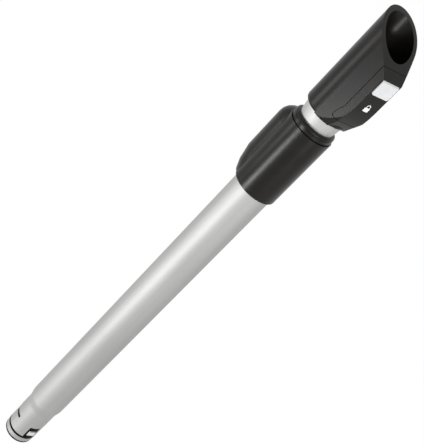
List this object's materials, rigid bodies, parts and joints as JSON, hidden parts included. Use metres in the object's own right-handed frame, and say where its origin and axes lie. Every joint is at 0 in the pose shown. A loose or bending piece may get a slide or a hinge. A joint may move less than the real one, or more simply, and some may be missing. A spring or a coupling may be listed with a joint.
{
  "type": "telescopic vacuum cleaner wand",
  "caption": "Telescopic steel suction tube with a latching spigot, a slide-lock sleeve, and a plastic hose socket with an oblique mouth and a push-button catch.",
  "frame": {"origin": "centre of the spigot's lower end face, on the tube's axis", "axes": "+Z along the tube from the spigot to the hose socket, +X towards the release button and the snap button, +Y completes the right-handed frame"},
  "size_m": [0.0584, 0.0402, 0.5623],
  "materials": {
    "tube_metal": "satin",
    "tube_chrome": "polished",
    "black_plastic": "satin",
    "light_plastic": "satin",
    "silver_plastic": "satin",
    "seal_rubber": "matte",
    "felt": "matte",
    "spring_steel": "bright"
  },
  "bodies": {
    "wand": {"outer_tube": "tube_metal", "spigot_insert": "black_plastic", "spigot_trim": "tube_metal", "spigot_seal": "seal_rubber", "latch_frame": "black_plastic", "snap_spring": "spring_steel", "lock_housing": "black_plastic", "housing_rivets": "spring_steel", "friction_ring": "seal_rubber", "guide_bush": "light_plastic", "wiper_ring": "felt", "collar_ring": "black_plastic", "pin_spring": "spring_steel"},
    "snap_catch": {"snap_button": "light_plastic"},
    "slide_sleeve": {"sleeve_shell": "black_plastic", "lock_cam": "black_plastic"},
    "locking_pin": {"lock_pin": "spring_steel"},
    "extension": {"inner_tube": "tube_chrome", "slide_bush": "light_plastic", "slide_seal": "seal_rubber", "head_body": "black_plastic", "head_cover": "black_plastic", "pivot_pin": "spring_steel", "lever_spring": "spring_steel"},
    "release_latch": {"latch_lever": "black_plastic", "release_button": "silver_plastic"}
  },
  "joints": [
    {"name": "telescope", "type": "slide", "parent": "wand", "child": "extension", "axis": [0, 0, 1], "range_m": [0, 0.33]},
    {"name": "sleeve_slide", "type": "slide", "parent": "wand", "child": "slide_sleeve", "axis": [0, 0, -1], "range_m": [0, 0.007]},
    {"name": "pin_slide", "type": "slide", "parent": "wand", "child": "locking_pin", "axis": [1, 0, 0], "range_m": [0, 0.002], "deforming": ["pin_spring"]},
    {"name": "snap_press", "type": "slide", "parent": "wand", "child": "snap_catch", "axis": [-1, 0, 0], "range_m": [0, 0.0024], "stiffness_N_per_m": 1500, "deforming": ["snap_spring"]},
    {"name": "release_press", "type": "hinge", "parent": "extension", "child": "release_latch", "pos_m": [0.0215, 0, 0.508], "axis": [0, -1, 0], "range_deg": [0, 5.7], "stiffness_Nm_per_rad": 0.35, "deforming": ["lever_spring"]}
  ],
  "couplings": [
    {"joint": "pin_slide", "follows": "sleeve_slide", "ratio": 0.2857}
  ]
}
